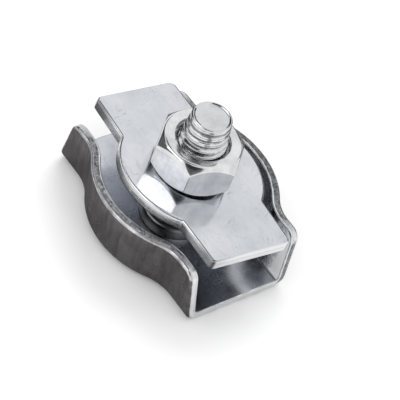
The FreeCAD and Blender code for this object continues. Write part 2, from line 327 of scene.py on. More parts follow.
@dataclass(frozen=True)
class Zinc:
    """Bright zinc plating, with its cloudy tint, drawing lines, handling scratches and uneven gloss."""

    label: str
    plating: Plating
    dark: Colour
    light: Colour
    cloud: float = 5.0
    gloss: Pair = (0.16, 0.30)
    swell: float = 0.012
    swell_size: float = 7.0
    grain: float = 0.0012
    streaks: float = 0.12
    streak_stretch: Triple = (3.0, 3.0, 0.12)
    streak_rise: Pair | None = None
    marks: tuple[Scratches, ...] = (
        Scratches((8, 0, 24), 0.14, 0.007), Scratches((0, 9, -38), 0.20, 0.006), Scratches((4, 0, 74), 0.25, 0.008),
    )
    scratches: float = 0.35
    hair: float = 1.0
    scuff: float = 0.15
    roots: Pair | None = None
    painted_mouth_light: Pair | None = None
    painted_shade_under_plate: Pair | None = None

    def make(self) -> bpy.types.Material:
        """Builds the finish.

        Returns:
            The material, every pattern of it procedural.
        """
        bench = Bench(self.label)
        at = bench.place(Coordinates.SOLID)
        # The second darkened colour is painted shade: near black, for the thread's roots, the bolt under the plate and
        # the walls round the bulge.
        faded, painted_shade_colour = shaded(self.dark, 0.55), shaded(self.dark, 0.12)
        cloud = bench.spread(bench.noise(at, self.cloud, 4), (0.36, 0.64))
        colour = bench.blend(cloud, self.dark, self.light)
        colour = bench.blend(bench.times(self.drawing_lines(bench, at), self.streaks), colour, faded)
        marks = functools.reduce(bench.most, [mark.mask(bench, self.hair) for mark in self.marks])
        colour = bench.blend(bench.times(marks, self.scratches), colour, faded)
        dull = bench.spread(bench.noise(at, 1.7, 5, 0.6), (0.35, 0.68), self.gloss)
        dull = bench.plus(dull, bench.times(marks, self.scuff))
        # Painted shade: the thread's roots and the bolt under the plate darkened, with the dark seam along each crest.
        if self.roots:
            shade_and_seam = self.root_shade_and_seam(bench, at)
            colour = bench.blend(shade_and_seam, colour, painted_shade_colour)
            dull = bench.plus(dull, bench.times(shade_and_seam, 0.25))
        # Painted shade: the inner walls darkened round the bulge, under the plate.
        if self.painted_shade_under_plate:
            edge = bench.sway(bench.noise(at, 1.2, 4, 0.6), 2.0)
            under_plate_shade = bench.times(self.patch(bench, at, edge, self.painted_shade_under_plate, (1.3, 1.9)), 0.8)
            colour = bench.blend(under_plate_shade, colour, painted_shade_colour)
        # Painted light near each mouth: the inner walls turn matt and are painted pale where light comes in.
        if self.painted_mouth_light:
            edge = bench.sway(bench.noise(at, 0.8, 5, 0.7), 2.5)
            painted_mouth_light = self.patch(bench, at, edge, self.painted_mouth_light, (1.22, 1.35))
            colour = bench.blend(painted_mouth_light, colour, (0.88, 0.885, 0.90))
            bench.coat("Metallic", bench.spread(painted_mouth_light, (0, 1), (1.0, 0.1)))
        bench.coat("Base Color", colour)
        bench.coat("Roughness", dull)
        swell = bench.relief(bench.noise(at, self.swell_size, 1), self.swell)
        speckle = bench.relief(bench.noise(at, 0.12, 3, 0.7), self.grain, swell)
        bench.coat("Normal", bench.relief(bench.minus(1.0, marks), 0.0006, speckle))
        return bench.material

    def drawing_lines(self, bench: Bench, at: Socket) -> Socket:
        """Fine lines that the press or the thread's rolls drew in the steel.

        Args:
            bench: The finish that they belong to.
            at: Coordinates in millimetres.

        Returns:
            A mask that is 1 where the lines are darkest.
        """
        fibres = bench.noise(bench.place(Coordinates.SOLID, self.streak_stretch), 1.0, 4, 0.65)
        lines = bench.spread(fibres, (0.42, 0.62))
        if self.streak_rise:
            lines = bench.times(lines, bench.spread(bench.parts(at)[2], self.streak_rise, (0.3, 1.0)))
        return lines

    def root_shade_and_seam(self, bench: Bench, at: Socket) -> Socket:
        """Painted shade in the roots of a thread and on all of it under the plate, with the fine seam of its rolled
        crest.

        Args:
            bench: The finish that it belongs to.
            at: Coordinates in millimetres, the thread about their Z axis.

        Returns:
            A mask that is 1 where the painted shade or the seam is darkest.
        """
        x, y, height = bench.parts(at)
        bearing = bench.sum("DIVIDE", bench.sum("ARCTAN2", y, x), math.tau)
        # Whole turns keep the count above nought, and half a turn puts each crest in the middle of its count.
        turns = bench.plus(bench.minus(height, bearing), 40 + 0.5)
        off_crest = bench.off(bench.sum("FRACT", turns), 0.5)
        off_crest = bench.plus(off_crest, bench.sway(bench.noise(at, 0.45, 4), 0.25))
        root = bench.spread(off_crest, self.roots, (0.0, 0.6))
        seam = bench.spread(off_crest, (0.065, 0.035), (0.0, 0.5))
        under_tip, over_collar = bench.spread(height, (19.0, 18.92)), bench.spread(height, (3.6, 4.2))
        shade_and_seam = bench.times(bench.most(root, seam), bench.times(under_tip, over_collar))
        # Painted shade over all of the bolt under the plate, down to the channel's base.
        under_plate, over_base = bench.spread(height, (8.8, 7.2), (0.0, 0.7)), bench.spread(height, (1.15, 1.3))
        return bench.most(shade_and_seam, bench.times(under_plate, over_base))

    def patch(self, bench: Bench, at: Socket, edge: Socket, along: Pair, up: Pair) -> Socket:
        """Patch on a stretch of the walls, for the painted shade under the plate and the painted light near the mouths.

        Args:
            bench: The finish that it belongs to.
            at: Coordinates in millimetres.
            edge: How far its edge wanders along the rope.
            along: Distances from the bolt along the rope at which it starts and is full.
            up: Heights at which it starts and is full.

        Returns:
            A mask that is 1 where the patch is full.
        """
        x, _, height = bench.parts(at)
        distance = bench.plus(bench.off(x, 0.0), edge)
        return bench.times(bench.spread(distance, along), bench.spread(height, up))


@dataclass(frozen=True)
class ShearedZinc:
    """Plating over the torn edge of a stamping, speckled and drawn out in the direction of the cut."""

    label: str
    dark: Colour
    middle: Colour
    light: Colour
    depth: float = 0.035
    gloss: Pair = (0.40, 0.20)
    smooth: Pair = (9.5, 12.5)
    land: Pair = (0.90, 0.95)
    painted_right_shade: bool = False
    painted_dark_corners: bool = False

    def make(self) -> bpy.types.Material:
        """Builds the finish.

        Returns:
            The material, laid out on the unrolled strip of the edge.
        """
        bench = Bench(self.label)
        torn = bench.noise(bench.place(Coordinates.STRIP, (5.5, 3.2, 1.0)), 1.0, 6, 0.78)
        pits = bench.noise(bench.place(Coordinates.STRIP, (1.2, 1.6, 1.0)), 1.0, 2)
        grit = bench.plus(bench.times(torn, 0.75), bench.times(pits, 0.25))
        x, y, height = bench.parts(bench.place(Coordinates.SOLID))
        along = bench.off(x, 0.0)
        rough = bench.spread(along, self.smooth, (1.0, 0.12))
        drift_and_shade = bench.spread(bench.noise(bench.place(Coordinates.SOLID), 3.0, 2), (0.42, 0.62), (0.0, 0.5))
        # Painted shade on the right wall's cut edge: darker round the bulge and low down, where it also loses its light
        # smooth band.
        if self.painted_right_shade:
            right, low = bench.spread(y, (6.2, 6.8), (0.0, 0.85)), bench.spread(height, (7.4, 6.4))
            bulge_shade = bench.spread(along, (9.0, 6.5), (0.0, 0.8))
            rough = bench.most(rough, bench.times(right, low))
            drift_and_shade = bench.most(drift_and_shade, bench.times(right, bench.most(bulge_shade, low)))
        level = bench.plus(bench.parts(bench.place(Coordinates.STRIP))[1], bench.sway(pits, 0.25))
        rough = bench.times(rough, bench.spread(level, self.land, (1.0, 0.1)))
        brink = bench.off(level, sum(self.land) / 2)
        flaw = bench.times(bench.spread(grit, (0.56, 0.44)), rough)
        flaw = bench.most(flaw, bench.spread(brink, (0.05, 0.01), (0.0, 0.55)))
        plain = bench.blend(rough, self.light, bench.blend(drift_and_shade, self.middle, shaded(self.middle, 0.33)))
        # Painted dark reflection: the cut edge darkened towards both ends of the plate.
        if self.painted_dark_corners:
            ends, end_faces = bench.spread(along, (8.5, 12.0), (0.0, 0.85)), bench.spread(along, (13.6, 13.3))
            plain = bench.blend(bench.times(ends, end_faces), plain, self.dark)
        bench.coat("Base Color", bench.blend(flaw, plain, self.dark))
        bench.coat("Roughness", bench.spread(flaw, (0.8, 0.0), self.gloss))
        bench.coat("Normal", bench.relief(bench.times(grit, rough), self.depth))
        return bench.material


def finish(piece: bpy.types.Object, main: Zinc, *others: Zinc | ShearedZinc) -> None:
    """Gives a piece its finishes, in the order of their numbers.

    Args:
        piece: The piece.
        main: Finish of its plain faces.
        others: Finishes of its other faces.
    """
    for coat in (main, *others):
        piece.data.materials.append(coat.make())


# Meshes


WELD_DISTANCE = 2e-4
SLIVER_LENGTH = 1e-5


@dataclass
class Blank:
    """Vertices and faces of one piece while it is being made, in millimetres."""

    points: list[np.ndarray] = field(default_factory=list)
    faces: list[tuple[int, ...]] = field(default_factory=list)
    strip: list[list[Pair]] = field(default_factory=list)
    finish: list[int] = field(default_factory=list)
    count: int = 0

    def lay(self, grid: np.ndarray) -> np.ndarray:
        """Adds a grid of points.

        Args:
            grid: Places of the points, rows by columns by 3.

        Returns:
            The number of each point, rows by columns.
        """
        rows, columns = grid.shape[:2]
        self.points.append(grid.reshape(-1, 3))
        numbers = self.count + np.arange(rows * columns).reshape(rows, columns)
        self.count += rows * columns
        return numbers

    def lay_round(self, grid: np.ndarray) -> np.ndarray:
        """Adds a grid whose last column is its first one again, and joins the two."""
        numbers = self.lay(grid[:, :-1])
        return np.hstack([numbers, numbers[:, :1]])

    def skin(
        self,
        numbers: np.ndarray,
        finish: Face = Face.PLAIN,
        strip: np.ndarray | None = None,
        window: Window | None = None,
    ) -> None:
        """Joins neighbouring points of a grid with four-sided faces.

        Args:
            numbers: Numbers of the points, rows by columns.
            finish: Which of the piece's finishes the faces get.
            strip: Places on the unrolled strip, rows by columns by 2.
            window: First and last row, then first and last column, of a part that stays open.
        """
        rows, columns = numbers.shape
        for i, j in np.ndindex(rows - 1, columns - 1):
            if window and window[0] <= i < window[1] and window[2] <= j < window[3]:
                continue
            corners = ((i, j), (i, j + 1), (i + 1, j + 1), (i + 1, j))
            self.faces.append(tuple(int(numbers[c]) for c in corners))
            self.strip.append([(0.0, 0.0)] * 4 if strip is None else [tuple(strip[c]) for c in corners])
            self.finish.append(int(finish))

    def cap(self, ring: np.ndarray, centre: Sequence[float]) -> None:
        """Closes a ring of points with a fan to one point.

        Args:
            ring: Numbers of the points of the ring, its last point on its first.
            centre: Place of the one point.
        """
        hub = int(self.lay(np.array([[centre]], dtype=float))[0, 0])
        for a, b in zip(ring[:-1], ring[1:]):
            self.faces.append((int(a), int(b), hub))
            self.strip.append([(0.0, 0.0)] * 3)
            self.finish.append(int(Face.PLAIN))

    def make(self, name: str, crease: float = 50.0) -> bpy.types.Object:
        """Makes the piece, welded, smooth but for its creases, and in metres.

        Args:
            name: Name of the piece.
            crease: Least angle in degrees of an edge that stays sharp.

        Returns:
            The new object.
        """
        mesh = bpy.data.meshes.new(name)
        mesh.from_pydata(np.vstack(self.points).tolist(), [], self.faces)
        mesh.polygons.foreach_set("material_index", self.finish)
        layer = mesh.uv_layers.new(name="strip")
        layer.data.foreach_set("uv", [place for face in self.strip for corner in face for place in corner])
        shell = bmesh.new()
        shell.from_mesh(mesh)
        bmesh.ops.remove_doubles(shell, verts=shell.verts, dist=WELD_DISTANCE)
        bmesh.ops.dissolve_degenerate(shell, edges=shell.edges, dist=SLIVER_LENGTH)
        bmesh.ops.recalc_face_normals(shell, faces=shell.faces)
        bmesh.ops.scale(shell, vec=(MM, MM, MM), verts=shell.verts)
        shell.to_mesh(mesh)
        shell.free()
        mesh.shade_smooth()
        mesh.set_sharp_from_angle(angle=math.radians(crease))
        piece = bpy.data.objects.new(name, mesh)
        bpy.context.scene.collection.objects.link(piece)
        return piece


def quarter_round(radius: float, steps: int) -> list[Pair]:
    """Steps of a rounded edge, as distances in from its two faces.

    Args:
        radius: Radius of the rounding.
        steps: Number of steps.

    Returns:
        Distances in from the end face and down from the top face, the first of them still on the top face.
    """
    angles = [math.pi / 2 * k / steps for k in range(steps + 1)]
    return [(radius * (1 - math.sin(a)), radius * (1 - math.cos(a))) for a in angles]


def between(first: np.ndarray, second: np.ndarray, shares: Iterable[float]) -> list[np.ndarray]:
    """Lines at shares of the way from one line to another."""
    return [first + share * (second - first) for share in shares]


def around(radius: np.ndarray, angles: np.ndarray, height: np.ndarray) -> np.ndarray:
    """Points about the Z axis, by their radii, angles and heights."""
    return np.stack([radius * np.cos(angles), radius * np.sin(angles), height + 0 * angles], axis=-1)


def rings(profile: Sequence[Pair], angles: np.ndarray) -> np.ndarray:
    """Turned surface.

    Args:
        profile: Radius and height of each ring.
        angles: Angles of the points on a ring, the last a full turn after the first.

    Returns:
        Grid of points, one row a ring.
    """
    radius, height = np.array(profile, dtype=float).T[:, :, None]
    return around(radius, angles, height)


def unroll(line: np.ndarray, depths: Sequence[float]) -> np.ndarray:
    """Strip that a cut edge unrolls to.

    Args:
        line: Points along the edge.
        depths: Depth of each row of the edge.

    Returns:
        Distance along the edge and depth, rows by columns by 2.
    """
    steps = np.linalg.norm(np.diff(line, axis=0), axis=1)
    run = np.concatenate([[0], np.cumsum(steps)])
    return np.array([[(distance, depth) for distance in run] for depth in depths])


@dataclass(frozen=True)
class Thread:
    """Right-hand metric coarse thread, whose outline is a crest, two flanks and a rounded root."""

    pitch: float = 1.0
    outline: tuple[Pair, ...] = (
        (0.0, 2.85), (0.03, 2.87), (0.06, 2.95), (0.09, 2.995), (0.12, 2.995), (0.15, 2.94), (0.19, 2.85),
        (0.26, 2.70), (0.33, 2.55), (0.37, 2.47), (0.41, 2.40), (0.45, 2.36), (0.5, 2.35),
    )

    def radius(self, turns: np.ndarray) -> np.ndarray:
        """Radius of the thread at so many turns up or down from a crest."""
        off_crest = np.abs((turns + 0.5) % 1.0 - 0.5)
        return np.interp(off_crest, *zip(*self.outline))

    def tube(self, low: float, high: float, angles: np.ndarray, trim: Trim) -> np.ndarray:
        """Threaded surface between two heights, its rows laid along the helix.

        Args:
            low: Height of its lower end.
            high: Height of its upper end.
            angles: Angles of its columns, the last a full turn after the first.
            trim: Gives the radius from the thread's own radius and the height.

        Returns:
            Grid of points, whose rows stop at the two ends.
        """
        half = [place for place, _ in self.outline]
        one_turn = np.array([-place for place in half[-2:0:-1]] + half)
        first, last = math.floor(low / self.pitch) - 2, math.ceil(high / self.pitch) + 1
        rows = np.concatenate([k + one_turn for k in range(first, last + 1)])
        height = np.clip((rows[:, None] + angles / math.tau) * self.pitch, low, high)
        radius = trim(self.radius(height / self.pitch - angles / math.tau), height)
        return around(radius, angles, height)


# Channel


def both_ways(places: Sequence[float]) -> np.ndarray:
    """Places on both sides of nought, from those on one side."""
    return np.array([-place for place in places[:0:-1]] + list(places))


@dataclass
class Channel:
    """Pressed channel: flat base, and two leaning walls that bulge round the bolt and end in slanted corners."""

    sheet: float = 1.2
    half_length: float = 14.15
    half_width: float = 6.5
    wall: float = 6.8
    splay: float = 0.8
    bulge: float = 10.0
    blend: float = 7.1
    inner_bend: float = 0.6
    slant: float = 1.3
    corner: float = 1.6
    rolled: float = 0.42
    burr: float = 0.16
    rivet_seat: Pair = (4.0, 0.8)
    bolt_hole: float = 3.0
    bulge_steps: int = 28
    blend_steps: int = 22
    mouth_steps: tuple[float, ...] = (0.12, 0.25, 0.4, 0.55, 0.7, 0.82, 0.91, 0.96, 0.985, 1.0)
    row_steps: int = 12
    corner_steps: int = 14
    top_row: float = 3.985
    window: Pair = (7 / 12, 6 / 7)
    rolled_steps: int = 9
    torn_steps: int = 6
    burr_steps: int = 5
    land_rows: int = 3
    steel: Zinc = Zinc(
        "zinc_on_pressed_sheet", Plating.SHEET, (0.42, 0.443, 0.485), (0.60, 0.623, 0.665), cloud=5.5,
        gloss=(0.17, 0.28), streaks=0.10, scratches=0.15, swell_size=5.0, painted_mouth_light=(10.8, 12.4), painted_shade_under_plate=(9.5, 7.5),
    )
    outside: Zinc = Zinc(
        "zinc_outside_channel", Plating.SHEET, (0.48, 0.475, 0.48), (0.72, 0.715, 0.73), cloud=4.5,
        gloss=(0.15, 0.27), streaks=0.6, streak_stretch=(0.9, 0.9, 0.09), streak_rise=(0.3, 2.0), scratches=0.0,
        swell=0.014, swell_size=4.0, scuff=0.22,
    )
    rubbed: Zinc = Zinc(
        "zinc_on_rolled_rim", Plating.SHEET, (0.34, 0.34, 0.35), (0.70, 0.70, 0.71), cloud=1.6,
        gloss=(0.20, 0.36), streaks=0.25, scratches=0.2, swell=0.020, swell_size=1.6, grain=0.004,
    )
    cut: ShearedZinc = ShearedZinc(
        "zinc_on_channel_cut", (0.06, 0.06, 0.07), (0.48, 0.485, 0.50), (0.78, 0.785, 0.80), painted_right_shade=True,
    )

    def __post_init__(self) -> None:
        """Works out the sizes that follow from the others."""
        self.lean = self.splay / self.wall
        self.tilt = math.atan(self.lean)
        self.top = self.sheet + self.wall
        self.centre_y = self.half_width + self.blend
        self.centre_x = math.sqrt((self.bulge + self.blend) ** 2 - self.centre_y**2)
        self.swing = math.atan2(self.centre_x, self.centre_y)
        self.bend_out = -self.inner_bend * (1 - math.sin(self.tilt)) / math.cos(self.tilt)
        self.bend_up = self.sheet + self.inner_bend
        self.slope = math.atan2(self.slant, self.wall)
        short = self.half_length - self.slant
        inward = self.corner * math.tan((math.pi / 2 - self.slope) / 2)
        self.round_x, self.round_z = short - inward, self.top - self.corner

    def reach(self, height: np.ndarray, inset: float) -> np.ndarray:
        """Where the sheet ends along the rope.

        Args:
            height: Height above the underside.
            inset: Distance in from the sheet's edge.

        Returns:
            Distance from the bolt at each height.
        """
        up = height - self.round_z
        corner = self.corner - inset
        rounded = self.round_x + np.sqrt(np.maximum(corner**2 - up**2, 0))
        slanted = self.half_length - inset / math.cos(self.slope) - self.slant / self.wall * (height - self.sheet)
        square = np.full_like(height, self.half_length - inset)
        return np.where(up > corner * math.sin(self.slope), rounded, np.minimum(slanted, square))

    def plan(self, station: np.ndarray, grow: np.ndarray, reach: np.ndarray) -> tuple[np.ndarray, np.ndarray]:
        """Line of one wall seen from above.

        Args:
            station: 0 at the bolt, 1 where the bulge ends, 2 where the straight mouth starts and 3 at its end.
            grow: How far the line lies outside the wall's foot.
            reach: Where the line ends along the rope.

        Returns:
            Place along the rope and across it.
        """
        s = np.abs(station)
        along_bulge = np.clip(s, 0, 1) * self.swing
        along_blend = (1 - np.clip(s - 1, 0, 1)) * self.swing
        in_blend = self.blend - grow
        x = np.where(s <= 1, (self.bulge + grow) * np.sin(along_bulge), self.centre_x - in_blend * np.sin(along_blend))
        y = np.where(s <= 1, (self.bulge + grow) * np.cos(along_bulge), self.centre_y - in_blend * np.cos(along_blend))
        x = np.where(s > 2, self.centre_x + (s - 2) * (reach - self.centre_x), x)
        y = np.where(s > 2, self.half_width + grow, y)
        return np.sign(station) * x, y

    def place(self, station: np.ndarray, row: np.ndarray, inset: float, depth: float) -> np.ndarray:
        """Point of the sheet.

        Args:
            station: Place along the rope, as for plan, negative towards the far mouth.
            row: 0 in the middle of the base, 1 where its bend starts, 2 and 3 up the wall, 4 at its top edge;
                negative for the left wall.
            inset: Distance in from the sheet's edge.
            depth: Depth under the sheet's outer face.

        Returns:
            Place of each point.
        """
        q = np.abs(row)
        bend = self.bend_up - depth
        swept = -math.pi / 2 + np.clip(q - 1, 0, 1) * (math.pi / 2 - self.tilt)
        foot = self.bend_up - bend * math.sin(self.tilt)
        corner = self.corner - inset
        shoulder = self.round_z + corner * math.sin(self.slope)
        height = np.where(q <= 1, depth, self.bend_up + bend * np.sin(swept))
        height = np.where(q > 2, foot + (np.clip(q, 2, 3) - 2) * (shoulder - foot), height)
        round_up = self.slope + (q - 3) * (math.pi / 2 - self.slope)
        height = np.where(q > 3, self.round_z + corner * np.sin(round_up), height)
        flank = self.lean * (height - self.sheet) + (self.sheet - depth) / math.cos(self.tilt)
        grow = np.where(q <= 1, self.bend_out, self.bend_out + bend * np.cos(swept))
        grow = np.where(q > 2, flank, grow)
        x, y = self.plan(station, grow, self.reach(height, inset))
        return np.stack([x, np.sign(row) * np.minimum(q, 1) * y, height], axis=-1)

    def build(self) -> bpy.types.Object:
        """Makes the channel as one closed shell with its rivet seat cut out.

        Returns:
            The finished piece.
        """
        bulge, blend = np.linspace(0, 1, self.bulge_steps + 1), np.linspace(1, 2, self.blend_steps + 1)
        stations = both_ways([*bulge, *blend[1:], *(2 + np.array(self.mouth_steps))])
        up = [0.0]
        for stretch in range(3):
            up += [*np.linspace(stretch, stretch + 1, self.row_steps + 1)[1:]]
        corner = 3 + np.sin(np.linspace(0, math.pi / 2, self.corner_steps + 1)[1:])
        rows = both_ways(sorted([*up, *corner, self.top_row]))
        across, along = np.meshgrid(rows, stations, indexing="ij")
        window = tuple(
            int(np.argmin(np.abs(line - side * half)))
            for line, half in zip((rows, stations), self.window) for side in (-1, 1)
        )
        blank = Blank()
        faces = {}
        for side, inset, depth in ((Face.OUTSIDE, self.rolled, 0.0), (Face.PLAIN, self.burr, self.sheet)):
            faces[side] = blank.lay(self.place(along, across, inset, depth))
            blank.skin(faces[side], side, window=window)
        self.pierce(blank, faces, window)
        self.close_edge(blank, faces, rows, stations)
        return blank.make("pressed_channel", 55)

    def close_edge(
        self, blank: Blank, faces: dict[Face, np.ndarray], rows: np.ndarray, stations: np.ndarray
    ) -> None:
        """Closes the sheet's edge, all the way round: its rolled outer corner, the torn band and the smooth land.

        Args:
            blank: The channel so far.
            faces: Numbers of the points of its outer and inner face.
            rows: Rows of both faces.
            stations: Columns of both faces.
        """
        last, end = len(rows) - 1, len(stations) - 1
        loop = [(last, j) for j in range(end)] + [(i, end) for i in range(last, 0, -1)]
        loop += [(0, j) for j in range(end, 0, -1)] + [(i, 0) for i in range(last + 1)]
        edge_rows, edge_stations = rows[[i for i, _ in loop]], stations[[j for _, j in loop]]
        steps = quarter_round(self.rolled, self.rolled_steps)[1:]
        steps += [(0.0, depth) for depth in np.linspace(self.rolled, self.sheet - self.burr, self.torn_steps + 1)[1:]]
        inner_round = quarter_round(self.burr, self.burr_steps)
        steps += [(inset, self.sheet - depth) for inset, depth in inner_round[-2:0:-1]]
        lines = np.array([self.place(edge_stations, edge_rows, inset, depth) for inset, depth in steps])
        numbers = self.rimmed(blank.lay_round(lines), faces, loop)
        strip = unroll(lines[self.rolled_steps], [0.0, *(depth for _, depth in steps), self.sheet])
        torn, land = self.rolled_steps - 1, len(steps) - self.land_rows
        for first, final, face in ((0, torn, Face.RIM), (torn, land, Face.CUT), (land, len(steps) + 1, Face.RIM)):
            blank.skin(numbers[first: final + 1], face, strip[first: final + 1])

    def rimmed(self, numbers: np.ndarray, faces: dict[Face, np.ndarray], loop: list[tuple[int, int]]) -> np.ndarray:
        """Puts a loop of the outer face's points before rows of points, and the inner face's after them."""
        outer, inner = (np.array([[faces[side][at] for at in loop]]) for side in (Face.OUTSIDE, Face.PLAIN))
        return np.vstack([outer, numbers, inner])

    def pierce(self, blank: Blank, faces: dict[Face, np.ndarray], window: Window) -> None:
        """Closes the window in the base round the hole and its countersink.

        Args:
            blank: The channel so far.
            faces: Numbers of the points of its outer and inner face.
            window: Part of both that was left open.
        """
        low, high, left, right = window
        loop = [(low, j) for j in range(left, right)] + [(i, right) for i in range(low, high)]
        loop += [(high, j) for j in range(right, left, -1)] + [(i, left) for i in range(high, low - 1, -1)]
        rim = np.vstack(blank.points)[[faces[Face.OUTSIDE][at] for at in loop]][:, :2]
        angles = np.unwrap(np.arctan2(rim[:, 1], rim[:, 0]))
        mouth, deep = self.rivet_seat
        rounds = rings([(mouth, 0), (self.bolt_hole, deep), (self.bolt_hole, self.sheet)], angles)
        under_rim, over_rim = (np.column_stack([rim, 0 * angles + height]) for height in (0, self.sheet))
        under = between(rounds[0], under_rim, (0.6, 0.3))
        over = between(rounds[2], over_rim, (0.3, 0.6))
        numbers = self.rimmed(blank.lay(np.array([*under, *rounds, *over])), faces, loop)
        seat_edge = len(under) + 1
        blank.skin(numbers[: seat_edge + 1], Face.OUTSIDE)
        blank.skin(numbers[seat_edge:])

    def dress(self, piece: bpy.types.Object) -> None:
        """Plates the faces and the sheared edges."""
        finish(piece, self.steel, self.cut, self.outside, self.rubbed)


# Bolt


@dataclass
class Bolt:
    """Threaded stud with a round collar, its foot upset flush into the channel's base."""

    height: float = 19.2
    collar_top: float = 3.0
    neck: float = 2.68
    neck_length: float = 0.8
    tip_round: float = 0.04
    thread_start: float = 0.85
    run_in: float = 1.0
    thread: Thread = Thread()
    taper: tuple[Pair, ...] = ((3.0, 3.0), (16.0, 3.0), (16.5, 2.825), (19.0, 2.525), (19.08, 2.50), (19.16, 2.44))
    columns: int = 120
    steel: Zinc = Zinc(
        "zinc_on_rolled_thread", Plating.BOLT, (0.60, 0.605, 0.62), (0.72, 0.725, 0.74), cloud=3.0,
        gloss=(0.10, 0.18), streaks=0.12, streak_stretch=(1.0, 1.0, 5.0), swell=0.003, swell_size=2.5, scratches=0.2,
        grain=0.0007, roots=(0.26, 0.37),
    )

    def trim(self, radius: np.ndarray, height: np.ndarray) -> np.ndarray:
        """Fades the thread out to the neck and under the tapered end.

        Args:
            radius: Radius of the full thread.
            height: Height above the underside.

        Returns:
            Radius of the bolt.
        """
        start = np.clip((height - self.collar_top - self.thread_start) / self.run_in, 0, 1)
        start = start * start * (3 - 2 * start)
        return np.minimum(self.neck + (radius - self.neck) * start, np.interp(height, *zip(*self.taper)))

    def build(self) -> bpy.types.Object:
        """Makes the bolt as one closed shell.

        Returns:
            The finished piece.
        """
        blank = Blank()
        angles = np.linspace(0, math.tau, self.columns + 1)
        low, high = self.collar_top + self.neck_length, self.height - self.tip_round
        foot = [
            (1.2, 0.03), (2.6, 0.03), (3.3, 0.01), (3.86, 0.0), (3.95, 0.02), (3.96, 0.06), (2.985, 0.82),
            (2.985, 1.204), (4.18, 1.204), (4.27, 1.23), (4.3, 1.32), (4.3, 2.0), (4.3, 2.66), (4.285, 2.74),
            (4.23, 2.81), (4.07, 2.955), (4.0, 2.99), (3.9, 3.0), (2.95, 3.0), (2.8, 3.02), (2.71, 3.08),
            (self.neck, 3.2), (self.neck, 3.5), (self.neck, low),
        ]
        rim = float(self.trim(np.array(3.0), np.array(high)))
        tip = [
            (rim, high), (2.41, 19.19), (2.36, 19.2), (2.31, 19.19), (2.27, 19.16), (2.20, 19.09), (2.13, 19.035),
            (2.07, 19.015), (2.0, 19.01), (1.2, 19.0), (0.5, 19.0),
        ]
        for profile, end in ((foot, 0), (tip, -1)):
            numbers = blank.lay(rings(profile, angles))
            blank.skin(numbers)
            blank.cap(numbers[end], (0, 0, profile[end][1]))
        blank.skin(blank.lay(self.thread.tube(low, high, angles, self.trim)))
        return blank.make("riveted_bolt", 40)

    def dress(self, piece: bpy.types.Object) -> None:
        """Plates the bolt."""
        finish(piece, self.steel)


# Clamp plate


def straight(start: Sequence[float], stop: Sequence[float], way: Sequence[float], shares: np.ndarray) -> Run:
    """Straight run of an outline.

    Args:
        start: Its first end.
        stop: Its other end.
        way: Direction out of the plate.
        shares: Where its points lie, from 0 at the start to 1 at the stop.

    Returns:
        Its points, and the direction out of the plate at each.
    """
    start, stop = np.array(start), np.array(stop)
    return start + shares[:, None] * (stop - start), np.tile(way, (len(shares), 1))


def arc(centre: Sequence[float], radius: float, angles: np.ndarray) -> Run:
    """Rounded run of an outline, its points towards their angles, or away from them if the radius is negative.

    Args:
        centre: Its centre.
        radius: Its radius, negative where it is hollow.
        angles: Angle of the direction out of the plate at each of its points.

    Returns:
        Its points, and the direction out of the plate at each.
    """
    ways = np.stack([np.cos(angles), np.sin(angles)], axis=-1)
    return np.array(centre) + radius * ways, ways


